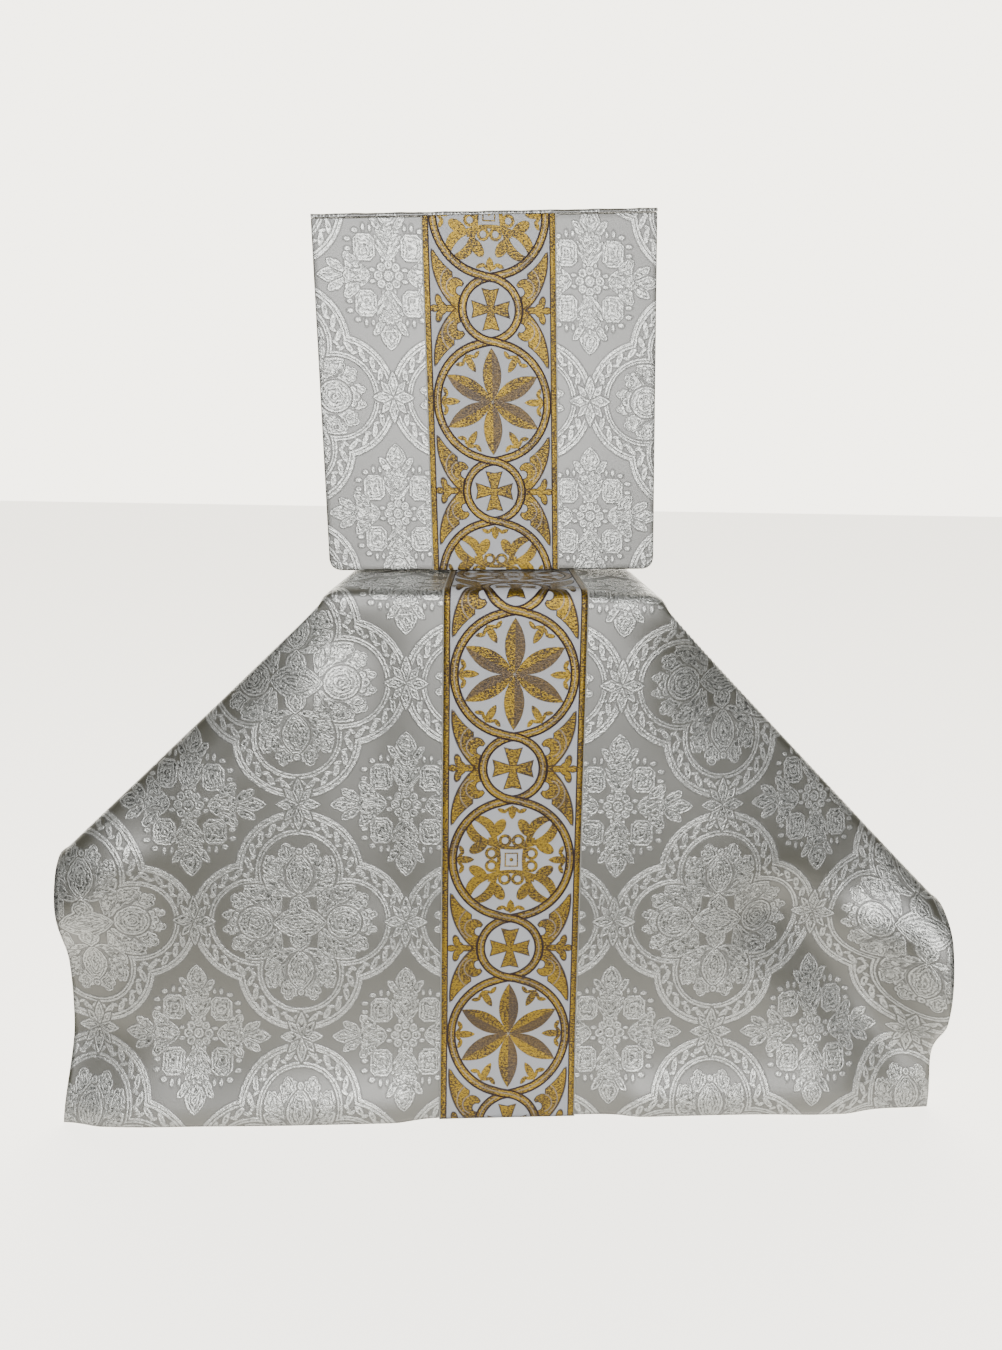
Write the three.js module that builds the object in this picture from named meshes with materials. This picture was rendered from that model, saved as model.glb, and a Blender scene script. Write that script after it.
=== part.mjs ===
// A chalice veil laid over a square board on a turned stand, with the matching burse standing on top.
// Millimetres, +Z up, +X to the viewer's right, -Y towards the viewer.
// The origin is the centre of the stand's underside.
import * as THREE from "three";

// Driving sizes
const clothWall = 1.5;
const seatGap = 0.3;
const bandWidth = 90;
const bandThick = 1.0;

const veil = {
  side: 575,
  topHeight: 346.5, // middle of the wall over the board
  offsetX: 13.5, // the band's centre line lies this far right of the stand's axis
  centreU: -1, // the veil's own centre, measured from its band
  frontBend: 7, // radius over the board's front and back edges
  sideBend: 15, // rounder over its sides
  frontDrop: 351, // from the end of the flat top to the hem, along the cloth
  frontTilt: 5, // degrees, the front leans out towards the viewer at its hem
  sideTilt: 4, // degrees, the side panels lean out at their hems
  backTilt: 12, // degrees
  drawnFrom: 32, // degrees from the front's drop, where a corner that is drawn in starts to be
  hemTwist: 27, // the left end of the hem stands this much nearer than the right end
  cell: 15, // grid step along and across the cloth
};

const board = { side: 191, thick: 5, cornerRadius: 9, edgeRound: 2.2 };
const flatX = 94.5; // half of the flat patch of cloth on the board, across
const flatY = 92.5; // and from front to back

const stand = { footRadius: 75, plateRadius: 55, plateThick: 4, sides: 40 };

const burse = {
  width: 231,
  heightLeft: 231,
  heightRight: 241.5, // the leaves aren't cut quite square
  footRise: 3.4, // the foot's right end is this much higher than its left end
  skew: 1.9, // degrees, the sides and the band lean to the left
  boardThick: 3,
  cornerRadius: 8, // bottom corners
  leanBack: 3, // degrees, front leaf
  leanForward: 8, // degrees, back leaf
  yaw: 2.7, // degrees, the left side stands nearer
  footX: -0.9,
  footY: -8.2, // front face of the front leaf at its foot
  spineHeight: 2.6,
  bandShift: 2, // the band lies this far right of the leaf's middle
};

// The largest folds of the veil's front, as soft ridges along a line on the cloth.
// across and down are measured from the band's centre and the front fold, height towards the viewer.
const frontFolds = [
  { name: "left corner", across1: -268, down1: 172, across2: -288, down2: 202, width: 42, height: 14 },
  { name: "left edge", across1: -290, down1: 248, across2: -288, down2: 292, width: 42, height: -17 },
  { name: "left hollow", across1: -236, down1: 205, across2: -205, down2: 300, width: 34, height: -5 },
  { name: "left slope", across1: -132, down1: 60, across2: -200, down2: 128, width: 26, height: 4 },
  { name: "beside the band", across1: -92, down1: 40, across2: -84, down2: 190, width: 22, height: -2.5 },
  { name: "right slope", across1: 150, down1: 72, across2: 236, down2: 166, width: 44, height: -16 },
  { name: "right corner", across1: 286, down1: 222, across2: 291, down2: 272, width: 33, height: 28 },
  { name: "right trough", across1: 172, down1: 200, across2: 246, down2: 262, width: 27, height: -9 },
  { name: "right foot", across1: 214, down1: 320, across2: 262, down2: 318, width: 34, height: 4 },
];
const hemKick = { from: 284, length: 60, height: 6 };
const sideHollow = { depth: 6, waves: 1.5, waveHeight: 2.5 }; // the side panels sag in between their corners

const rad = THREE.MathUtils.degToRad;

function smoothStep(t) {
  const c = Math.min(1, Math.max(0, t));
  return c * c * (3 - 2 * c);
}

// Where the cloth's rays point below one corner of the board.
// The path runs out in the plane of the main panel, turns in a hairpin, comes back behind it
// and swings round into the next panel. At 90 degrees long it leaves the cloth unstretched,
// and a little shorter it draws the cloth in.
// Its two coordinates are angles from straight down: out along the main panel, and in behind it.
function cornerPath(mainTilt, endTilt, swing, length = 90) {
  const steps = 24;
  const cap = (mainTilt - swing) / 2;
  const pathTo = (reach) => {
    const points = [[0, -mainTilt]];
    for (let k = 1; k <= steps; k++) points.push([(reach * k) / steps, -mainTilt]);
    for (let k = 1; k <= steps; k++) {
      const turn = (Math.PI * k) / steps;
      points.push([reach + cap * Math.sin(turn), -mainTilt + cap * (1 - Math.cos(turn))]);
    }
    const back = reach - endTilt - swing;
    for (let k = 1; k <= steps; k++) points.push([reach - (back * k) / steps, -swing]);
    for (let k = 1; k <= steps; k++) {
      const turn = (Math.PI * k) / steps / 2;
      points.push([endTilt + swing * (1 - Math.sin(turn)), -swing * Math.cos(turn)]);
    }
    return points.map(([out, behind]) =>
      new THREE.Vector3(Math.tan(rad(out)), Math.tan(rad(behind)), -1).normalize(),
    );
  };
  const lengths = (path) => {
    const sums = [0];
    for (let k = 1; k < path.length; k++) sums.push(sums[k - 1] + path[k].angleTo(path[k - 1]));
    return sums;
  };
  let low = 20;
  let high = 60;
  for (let k = 0; k < 40; k++) {
    const middle = (low + high) / 2;
    if (lengths(pathTo(middle)).at(-1) < rad(length)) low = middle;
    else high = middle;
  }
  const path = pathTo(low);
  const sums = lengths(path);
  const drawn = (length - veil.drawnFrom) / (90 - veil.drawnFrom);
  return (flatAngle) => {
    const start = rad(veil.drawnFrom);
    const angle = flatAngle < start ? flatAngle : start + (flatAngle - start) * drawn;
    let k = 1;
    while (k < sums.length - 1 && sums[k] < angle) k++;
    const share = (angle - sums[k - 1]) / (sums[k] - sums[k - 1]);
    return path[k - 1].clone().lerp(path[k], Math.min(1, Math.max(0, share))).normalize();
  };
}

const leftCorner = cornerPath(veil.frontTilt, veil.sideTilt, 1.6);
const rightCorner = cornerPath(veil.frontTilt, veil.sideTilt, 1.6, 87.5);
const backCorner = cornerPath(veil.sideTilt, veil.backTilt, 1.2);

// How far the front stands out towards the viewer, at a place across the band and down the front.
function frontRelief(across, down) {
  let out = (-veil.hemTwist * across * down) / (veil.side * veil.frontDrop);
  for (const f of frontFolds) {
    const along = new THREE.Vector2(f.across2 - f.across1, f.down2 - f.down1);
    const to = new THREE.Vector2(across - f.across1, down - f.down1);
    const share = Math.min(1, Math.max(0, to.dot(along) / along.lengthSq()));
    const off = to.addScaledVector(along, -share).length() / f.width;
    out += f.height * Math.exp(-off * off);
  }
  out += hemKick.height * smoothStep((down - hemKick.from) / hemKick.length);
  return out * smoothStep(down / 40);
}

// The flat square's edges on the cloth, and how far the cloth runs beyond each of them
const edges = {
  left: -flatX - veil.offsetX,
  right: flatX - veil.offsetX,
  front: 0,
  back: 2 * flatY,
};
const reach = {
  left: edges.left - (veil.centreU - veil.side / 2),
  right: veil.centreU + veil.side / 2 - edges.right,
  front: veil.frontDrop,
  back: veil.side - veil.frontDrop - 2 * flatY,
};

// A point of the veil's middle surface. u runs across from the band's centre, v from the hem in front
// (negative) over the board's front edge (0) to the back.
function veilPoint(u, v) {
  const x = u + veil.offsetX;
  const y = v - flatY;
  const anchor = new THREE.Vector3(
    THREE.MathUtils.clamp(x, -flatX, flatX),
    THREE.MathUtils.clamp(y, -flatY, flatY),
    veil.topHeight,
  );
  const outX = Math.abs(x - anchor.x);
  const outY = Math.abs(y - anchor.y);
  const run = Math.hypot(outX, outY);
  if (run < 1e-6) return anchor;
  const signX = Math.sign(x - anchor.x) || 1;
  const front = y < 0;
  const flat = new THREE.Vector3(x - anchor.x, y - anchor.y, 0).normalize();
  const hang = new THREE.Vector3();
  if (front) {
    const ray = (signX < 0 ? leftCorner : rightCorner)(Math.atan2(outX, outY));
    hang.set(signX * ray.x, ray.y, ray.z);
    if (outX === 0) hang.x = 0;
  } else if (outX === 0) {
    hang.set(0, Math.sin(rad(veil.backTilt)), -Math.cos(rad(veil.backTilt)));
  } else {
    const ray = backCorner(Math.atan2(outY, outX));
    hang.set(-signX * ray.y, ray.x, ray.z);
  }
  if (outY === 0) hang.set(signX * Math.sin(rad(veil.sideTilt)), 0, -Math.cos(rad(veil.sideTilt)));
  const turn = flat.angleTo(hang);
  const across = hang.clone().addScaledVector(flat, -hang.dot(flat)).normalize();
  const bend = veil.frontBend + (veil.sideBend - veil.frontBend) * (outX / run) ** 2;
  const bent = Math.min(run / bend, turn);
  const point = anchor
    .addScaledVector(flat, bend * Math.sin(bent))
    .addScaledVector(across, bend * (1 - Math.cos(bent)))
    .addScaledVector(hang, run - bent * bend);
  if (outY === 0) {
    const share = (y + flatY) / (2 * flatY);
    const between = Math.sin(Math.PI * share) ** 2;
    const wave = Math.sin(2 * Math.PI * sideHollow.waves * share);
    const inward = sideHollow.depth + sideHollow.waveHeight * wave;
    point.x -= signX * inward * between * smoothStep((outX - veil.sideBend) / reach.left);
  }
  if (front && outY > 0) {
    const down = (veil.topHeight - point.z) / Math.cos(rad(veil.frontTilt));
    const share = smoothStep(outY / 20);
    point.y -= share * frontRelief(point.x - veil.offsetX, down);
  }
  return point;
}

function veilNormal(u, v) {
  const step = 0.5;
  const along = veilPoint(u + step, v).sub(veilPoint(u - step, v));
  const up = veilPoint(u, v + step).sub(veilPoint(u, v - step));
  return along.cross(up).normalize();
}

// A wall of cloth over a grid of places, from one depth to another beside the middle surface.
// ridge says for a cell whether its other diagonal lies along a fold.
function clothWallGeometry(us, vs, from, to, ridge) {
  const positions = [];
  for (const depth of [to, from]) {
    for (const v of vs) {
      for (const u of us) {
        const p = veilPoint(u, v).addScaledVector(veilNormal(u, v), depth);
        positions.push(p.x, p.y, p.z);
      }
    }
  }
  const across = us.length;
  const layer = across * vs.length;
  const index = [];
  const quad = (a, b, c, d, other) => {
    if (other) index.push(a, b, d, b, c, d);
    else index.push(a, b, c, a, c, d);
  };
  for (let j = 0; j < vs.length - 1; j++) {
    for (let i = 0; i < across - 1; i++) {
      const a = j * across + i;
      const other = ridge(us[i], us[i + 1], vs[j], vs[j + 1]);
      quad(a, a + 1, a + across + 1, a + across, other);
      quad(layer + a + across, layer + a + across + 1, layer + a + 1, layer + a, other);
    }
  }
  const rim = [];
  for (let i = 0; i < across - 1; i++) rim.push(i);
  for (let j = 0; j < vs.length - 1; j++) rim.push(j * across + across - 1);
  for (let i = across - 1; i > 0; i--) rim.push((vs.length - 1) * across + i);
  for (let j = vs.length - 1; j > 0; j--) rim.push(j * across);
  rim.forEach((a, k) => {
    const b = rim[(k + 1) % rim.length];
    index.push(b, a, layer + a, b, layer + a, layer + b);
  });
  const geometry = new THREE.BufferGeometry();
  geometry.setAttribute("position", new THREE.Float32BufferAttribute(positions, 3));
  geometry.setIndex(index);
  geometry.computeVertexNormals();
  return geometry;
}

// Grid lines beyond the board's edge: close over the bend, then even, the same on every side,
// so that a fold running out at 45 degrees follows the cells' diagonals
function linesBeyond(limit) {
  const lines = [3.5, 7, 11, 15];
  for (let d = 27; d < veil.side; d += veil.cell) lines.push(d);
  lines.push(reach.left, reach.right);
  const sorted = lines.filter((d) => d < limit - 3).sort((a, b) => a - b);
  const kept = sorted.filter((d, k) => d === reach.left || d === reach.right || !sorted
    .some((other, n) => n !== k && (other === reach.left || other === reach.right)
      && Math.abs(other - d) < 6));
  kept.push(limit);
  return kept;
}

function linesBetween(from, to, count) {
  return Array.from({ length: count + 1 }, (unused, k) => from + ((to - from) * k) / count);
}

const veilUs = [
  ...linesBeyond(reach.left).map((d) => edges.left - d).reverse(),
  ...linesBetween(edges.left, edges.right, 10),
  ...linesBeyond(reach.right).map((d) => edges.right + d),
];
const veilVs = [
  ...linesBeyond(reach.front).map((d) => -d).reverse(),
  ...linesBetween(edges.front, edges.back, 8),
  ...linesBeyond(reach.back).map((d) => edges.back + d),
];

function alongRidge(u1, u2, v1, v2) {
  const u = (u1 + u2) / 2;
  const v = (v1 + v2) / 2;
  const beside = u < edges.left ? -1 : u > edges.right ? 1 : 0;
  const beyond = v < edges.front ? -1 : v > edges.back ? 1 : 0;
  return beside * beyond < 0;
}

function veilCloth() {
  return clothWallGeometry(veilUs, veilVs, -clothWall / 2, clothWall / 2, alongRidge);
}

function veilBand() {
  const us = linesBetween(-bandWidth / 2, bandWidth / 2, 4);
  const inner = clothWall / 2 + seatGap;
  return clothWallGeometry(us, veilVs, inner, inner + bandThick, () => false);
}

// The board of the stand: square, with rounded corners and edges
function boardGeometry() {
  const half = board.side / 2 - board.edgeRound;
  const r = board.cornerRadius - board.edgeRound;
  const outline = new THREE.Shape();
  outline.moveTo(half - r, -half);
  outline.absarc(half - r, -half + r, r, -Math.PI / 2, 0);
  outline.absarc(half - r, half - r, r, 0, Math.PI / 2);
  outline.absarc(-half + r, half - r, r, Math.PI / 2, Math.PI);
  outline.absarc(-half + r, -half + r, r, Math.PI, 1.5 * Math.PI);
  outline.closePath();
  const core = board.thick - 2 * board.edgeRound;
  const geometry = new THREE.ExtrudeGeometry(outline, {
    depth: core,
    bevelThickness: board.edgeRound,
    bevelSize: board.edgeRound,
    bevelSegments: 3,
    curveSegments: 5,
  });
  return geometry.translate(0, 0, board.edgeRound);
}

const boardTop = veil.topHeight - clothWall / 2 - seatGap;
const boardFoot = boardTop - board.thick;

// The stand's half section, from the middle of its underside to the middle of its plate
const standTop = boardFoot - seatGap;
const standProfile = [
  { r: 0, z: 0 },
  { r: stand.footRadius - 1, z: 0 },
  { r: stand.footRadius, z: 1 },
  { r: stand.footRadius, z: 4.5 },
  { r: stand.footRadius - 3, z: 7.5 },
  { r: 60, z: 10 },
  { r: 42, z: 15 },
  { r: 26, z: 24 },
  { r: 15, z: 40 },
  { r: 10.5, z: 62 },
  { r: 9, z: 96 },
  { r: 9.5, z: 130 },
  { r: 12.5, z: 134 },
  { r: 13, z: 138 },
  { r: 11, z: 142 },
  { r: 17, z: 150 },
  { r: 20, z: 160 },
  { r: 17, z: 170 },
  { r: 11, z: 178 },
  { r: 13, z: 182 },
  { r: 12.5, z: 186 },
  { r: 9.5, z: 190 },
  { r: 9, z: 230 },
  { r: 11, z: 280 },
  { r: 17, z: 308 },
  { r: 30, z: 323 },
  { r: stand.plateRadius - 3, z: standTop - stand.plateThick - 3 },
  { r: stand.plateRadius, z: standTop - stand.plateThick },
  { r: stand.plateRadius, z: standTop - 1 },
  { r: stand.plateRadius - 1, z: standTop },
  { r: 0, z: standTop },
];

function standGeometry() {
  const profile = standProfile.map((p) => new THREE.Vector2(p.r, p.z));
  return new THREE.LatheGeometry(profile, stand.sides).rotateX(Math.PI / 2);
}

// The burse: two stiff covered leaves that meet at the top like a tent, joined by a folded spine.
// Each leaf stands in its own plane, across from its middle and up from its foot line.
const skewRun = Math.tan(rad(burse.skew));
const halfWidth = burse.width / 2;

function leafFoot(across) {
  return (burse.footRise * (across + halfWidth)) / burse.width;
}

function leafTop(across) {
  const share = (across + halfWidth) / burse.width;
  return burse.heightLeft + (burse.heightRight - burse.heightLeft) * share;
}

// A point on the slanting line that starts at a place on the foot
function leafPoint(across, up) {
  return new THREE.Vector2(across - up * skewRun, up);
}

function leafOutline(scaleUp) {
  const r = burse.cornerRadius;
  const left = -halfWidth;
  const right = halfWidth;
  const cornerLeft = leafPoint(left, 0);
  const cornerRight = leafPoint(right, burse.footRise);
  const outline = new THREE.Shape();
  outline.moveTo(cornerLeft.x + r, leafFoot(left + r));
  outline.lineTo(cornerRight.x - r, leafFoot(right - r));
  const riseRight = leafPoint(right, burse.footRise + r);
  outline.quadraticCurveTo(cornerRight.x, cornerRight.y, riseRight.x, riseRight.y);
  const topRight = leafPoint(right, burse.heightRight * scaleUp);
  const topLeft = leafPoint(left, burse.heightLeft * scaleUp);
  outline.lineTo(topRight.x, topRight.y);
  outline.lineTo(topLeft.x, topLeft.y);
  const riseLeft = leafPoint(left, r);
  outline.lineTo(riseLeft.x, riseLeft.y);
  outline.quadraticCurveTo(cornerLeft.x, cornerLeft.y, cornerLeft.x + r, leafFoot(left + r));
  return outline;
}

// A plate that stands on the XZ plane's X axis, its front face at y = 0
function standingPlate(outline, thick) {
  const plate = new THREE.ExtrudeGeometry(outline, { depth: thick, bevelEnabled: false, curveSegments: 4 });
  return plate.rotateX(Math.PI / 2).translate(0, thick, 0);
}

const lean = rad(burse.leanBack);
const backLean = rad(burse.leanForward);
const veilTop = veil.topHeight + clothWall / 2;
const burseFoot = veilTop + seatGap + burse.boardThick * Math.sin(lean);

// The back leaf's outer top edge comes level with the front leaf's front top edge
const backScale = (Math.cos(lean) - (burse.boardThick * Math.sin(backLean)) / burse.heightLeft)
  / Math.cos(backLean);
const innerTopY = burse.boardThick * Math.cos(lean) + burse.heightRight * Math.sin(lean) + seatGap;
const backFootY = innerTopY + burse.heightRight * backScale * Math.sin(backLean);

function burseBandOutline() {
  const outline = new THREE.Shape();
  const inset = 0.4; // the band's ends stop just inside the leaf's edges
  const left = burse.bandShift - bandWidth / 2;
  const right = burse.bandShift + bandWidth / 2;
  outline.setFromPoints([
    leafPoint(left, leafFoot(left) + inset),
    leafPoint(right, leafFoot(right) + inset),
    leafPoint(right, leafTop(right) - inset),
    leafPoint(left, leafTop(left) - inset),
  ]);
  return outline;
}

// The spine lies along the leaves' top edges: half an ellipse in section, as wide as both leaves
function spineGeometry() {
  const front = burse.heightRight * Math.sin(lean);
  const back = innerTopY + burse.boardThick * Math.cos(backLean);
  const section = new THREE.Shape();
  section.absellipse((front + back) / 2, 0, (back - front) / 2, burse.spineHeight, 0, Math.PI);
  section.closePath();
  const bar = new THREE.ExtrudeGeometry(section, {
    depth: burse.width,
    bevelEnabled: false,
    curveSegments: 8,
  });
  // The section's x becomes Y, its y becomes Z and the bar runs along X
  const toBody = new THREE.Matrix4().makeBasis(
    new THREE.Vector3(0, 1, 0),
    new THREE.Vector3(0, 0, 1),
    new THREE.Vector3(1, 0, 0),
  );
  return bar.applyMatrix4(toBody).translate(-halfWidth, 0, 0);
}

const materials = {
  damask: { color: 0xcfcfca, roughness: 0.45, metalness: 0.05 },
  orphrey: { color: 0xb08c3c, roughness: 0.4, metalness: 0.35 },
  turned: { color: 0xb9a26a, roughness: 0.3, metalness: 0.9 },
  linen: { color: 0xe8e4da, roughness: 0.8, metalness: 0 },
};

function makeMesh(name, geometry, material) {
  const mesh = new THREE.Mesh(geometry, new THREE.MeshStandardMaterial(materials[material]));
  mesh.name = name;
  return mesh;
}

function makeBurse() {
  const tent = new THREE.Group();
  tent.position.set(burse.footX, burse.footY, burseFoot);
  tent.rotation.z = rad(burse.yaw);

  const front = makeMesh("burse_front", standingPlate(leafOutline(1), burse.boardThick), "damask");
  front.rotation.x = -lean;
  const band = makeMesh("burse_band", standingPlate(burseBandOutline(), bandThick), "orphrey");
  band.geometry.translate(0, -seatGap - bandThick, 0);
  band.rotation.x = -lean;

  const back = makeMesh("burse_back", standingPlate(leafOutline(backScale), burse.boardThick), "damask");
  back.position.y = backFootY;
  back.position.z = -burse.boardThick * Math.sin(lean);
  back.rotation.x = backLean;

  const spine = makeMesh("burse_spine", spineGeometry(), "damask");
  const slope = Math.atan((burse.heightRight - burse.heightLeft) / burse.width);
  const middle = leafPoint(0, (burse.heightLeft + burse.heightRight) / 2);
  spine.rotation.y = -slope;
  spine.position.set(middle.x, 0, middle.y * Math.cos(lean) + seatGap);

  tent.add(front, band, back, spine);
  return tent;
}

const group = new THREE.Group();
group.add(makeMesh("stand", standGeometry(), "turned"));
const boardMesh = makeMesh("board", boardGeometry(), "linen");
boardMesh.position.z = boardFoot;
group.add(boardMesh);
group.add(makeMesh("veil_cloth", veilCloth(), "damask"));
group.add(makeMesh("veil_band", veilBand(), "orphrey"));
group.add(makeBurse());

export default group;
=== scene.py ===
import bisect
import math
import bmesh
import bpy
from mathutils import Matrix, Vector


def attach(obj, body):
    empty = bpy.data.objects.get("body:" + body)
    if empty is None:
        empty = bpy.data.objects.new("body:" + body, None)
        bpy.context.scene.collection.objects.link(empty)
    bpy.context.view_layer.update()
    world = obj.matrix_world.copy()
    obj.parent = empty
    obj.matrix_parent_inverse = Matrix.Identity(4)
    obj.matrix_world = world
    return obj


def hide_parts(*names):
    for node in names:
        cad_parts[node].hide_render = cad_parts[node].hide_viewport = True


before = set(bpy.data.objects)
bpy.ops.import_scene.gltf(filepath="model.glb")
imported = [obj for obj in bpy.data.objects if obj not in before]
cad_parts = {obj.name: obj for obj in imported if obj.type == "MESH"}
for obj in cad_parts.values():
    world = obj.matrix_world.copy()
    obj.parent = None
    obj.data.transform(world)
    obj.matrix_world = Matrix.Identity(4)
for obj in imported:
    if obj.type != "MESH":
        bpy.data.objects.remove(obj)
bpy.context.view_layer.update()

MM = 0.001
rad = math.radians

# Sizes in millimetres, as the solids have them
CLOTH_WALL = 1.4
BAND_WIDTH = 90
BAND_THICK = 1.0
SEAT_GAP = 0.3
SOLID_WALL = 1.5

VEIL_SIDE = 575
TOP_HEIGHT = 346.5
VEIL_OFFSET = 13.5
CENTRE_U = -1
FRONT_BEND = 7
SIDE_BEND = 15
FRONT_DROP = 351
FRONT_TILT = 5
SIDE_TILT = 4
BACK_TILT = 12
DRAWN_FROM = 32
HEM_TWIST = 27
FLAT_X = 94.5
FLAT_Y = 92.5
MIDDLE_V = VEIL_SIDE / 2 - FRONT_DROP
SMOOTH_BEYOND = 60
SMOOTH_ROUNDS = 4

BOARD_SIDE = 191
BOARD_THICK = 5
BOARD_CORNER = 9
BOARD_EDGE = 2

BURSE_WIDTH = 231
BURSE_LEFT = 231
BURSE_RIGHT = 241.5
FOOT_RISE = 3.4
SKEW = rad(1.9)
LEAF_THICK = 3
LEAF_CORNER = 8
LEAN = rad(3)
BACK_LEAN = rad(8)
BURSE_YAW = rad(2.7)
BURSE_FOOT_X = -0.9
BURSE_FOOT_Y = -8.2
LEAF_SWELL = 0.5
LEAF_RIM = 1.1
SPINE_HEIGHT = 2.6
SPINE_LIFT = 0.3
SPINE_UNDERSIDE = 0.12
BAND_SHIFT = 2
BAND_INSET = 0.2

# Folds of the veil's front: across and down at both ends, width, and height towards the viewer
FRONT_FOLDS = [
    (-268, 172, -288, 202, 42, 14),
    (-290, 248, -288, 292, 42, -17),
    (-236, 205, -205, 300, 34, -5),
    (-132, 60, -200, 128, 26, 4),
    (-92, 40, -84, 190, 22, -2.5),
    (150, 72, 236, 166, 44, -16),
    (286, 222, 291, 272, 33, 28),
    (182, 214, 268, 298, 27, -14),
    (214, 320, 262, 318, 34, 4),
    (-262, 340, -76, 340, 17, 5),
    (92, 338, 226, 338, 16, 5),
]
HEM_KICK_FROM, HEM_KICK_LENGTH, HEM_KICK = 284, 60, 6
EDGE_ROLL_WIDTH, EDGE_ROLL = 42, 11
SIDE_HOLLOW, SIDE_WAVES, SIDE_WAVE = 6, 1.5, 2.5

# How the woven patterns lie on the cloth
REPEAT_ACROSS = 135.4
REPEAT_ALONG = 156.3
DAMASK_ROW = -61.4
GALLOON_PITCH = 60.13
GALLOON_ROSETTE = -54.4
LEAF_DAMASK_ROW = 118.3
LEAF_ROSETTE = 116.5

# The damask medallion's border: two lobes' centres and radii, its width, and its garland's step and middle
SIDE_LOBE, SIDE_LOBE_RADIUS = 28.6, 26.2
TOP_LOBE, TOP_LOBE_RADIUS = 34, 24.3
BORDER_WIDTH = 15.2
GARLAND_STEP, GARLAND_MIDDLE = 9.4, 7.2

# The galloon's rings and edges: radii, half widths and places across from the band's middle
BIG_RING, SMALL_RING = 37.7, 19.0
RING_SQUASH = 0.975
INSIDE_RIBBON, BESIDE_RIBBON = 2.4, 2.9
RIBBON_DARK, RIBBON_GOLD, RIBBON_PALE = 2.95, 1.8, 0.42
EDGE_LINE, GOLD_EDGE, SELVAGE = 40.1, 40.9, 44.2


def smooth_step(t):
    c = min(1.0, max(0.0, t))
    return c * c * (3 - 2 * c)


# The cloth's rays below a corner: out in the main panel, round a hairpin, back, and into the next panel
def corner_path(main_tilt, end_tilt, swing, length=90):
    steps = 24
    cap = (main_tilt - swing) / 2

    def path_to(reach):
        places = [(0, -main_tilt)]
        for k in range(1, steps + 1):
            places.append((reach * k / steps, -main_tilt))
        for k in range(1, steps + 1):
            turn = math.pi * k / steps
            places.append((reach + cap * math.sin(turn), -main_tilt + cap * (1 - math.cos(turn))))
        back = reach - end_tilt - swing
        for k in range(1, steps + 1):
            places.append((reach - back * k / steps, -swing))
        for k in range(1, steps + 1):
            turn = math.pi * k / steps / 2
            places.append((end_tilt + swing * (1 - math.sin(turn)), -swing * math.cos(turn)))
        rays = [Vector((math.tan(rad(out)), math.tan(rad(behind)), -1)) for out, behind in places]
        return [ray.normalized() for ray in rays]

    def lengths(path):
        sums = [0.0]
        for before, after in zip(path, path[1:]):
            sums.append(sums[-1] + before.angle(after, 0.0))
        return sums

    low, high = 20.0, 60.0
    for _ in range(40):
        middle = (low + high) / 2
        if lengths(path_to(middle))[-1] < rad(length):
            low = middle
        else:
            high = middle
    path = path_to(low)
    sums = lengths(path)
    start = rad(DRAWN_FROM)
    drawn = (length - DRAWN_FROM) / (90 - DRAWN_FROM)

    def ray(flat_angle):
        angle = flat_angle if flat_angle < start else start + (flat_angle - start) * drawn
        k = min(len(sums) - 1, max(1, bisect.bisect_left(sums, angle)))
        share = (angle - sums[k - 1]) / (sums[k] - sums[k - 1])
        return path[k - 1].lerp(path[k], min(1.0, max(0.0, share))).normalized()

    return ray, math.tan(rad(low + cap))


left_corner, left_slope = corner_path(FRONT_TILT, SIDE_TILT, 1.6)
right_corner, right_slope = corner_path(FRONT_TILT, SIDE_TILT, 1.6, 87.5)
back_corner, _ = corner_path(SIDE_TILT, BACK_TILT, 1.2)


def front_relief(across, down):
    out = -HEM_TWIST * across * down / (VEIL_SIDE * FRONT_DROP)
    for across1, down1, across2, down2, width, height in FRONT_FOLDS:
        ax, ay = across2 - across1, down2 - down1
        px, py = across - across1, down - down1
        share = min(1.0, max(0.0, (px * ax + py * ay) / (ax * ax + ay * ay)))
        off = math.hypot(px - share * ax, py - share * ay) / width
        out += height * math.exp(-off * off)
    out += HEM_KICK * smooth_step((down - HEM_KICK_FROM) / HEM_KICK_LENGTH)
    # The slanting folds at both sides roll back softly
    x = across + VEIL_OFFSET
    edge = FLAT_X + down * (left_slope if x < 0 else right_slope)
    inward = (edge - abs(x)) / math.hypot(1, left_slope)
    near = min(1.0, max(0.0, 1 - inward / EDGE_ROLL_WIDTH))
    out -= EDGE_ROLL * near * near * smooth_step(down / 60)
    return out * smooth_step(down / 40)


EDGE_LEFT = -FLAT_X - VEIL_OFFSET
REACH_LEFT = EDGE_LEFT - (CENTRE_U - VEIL_SIDE / 2)


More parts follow.
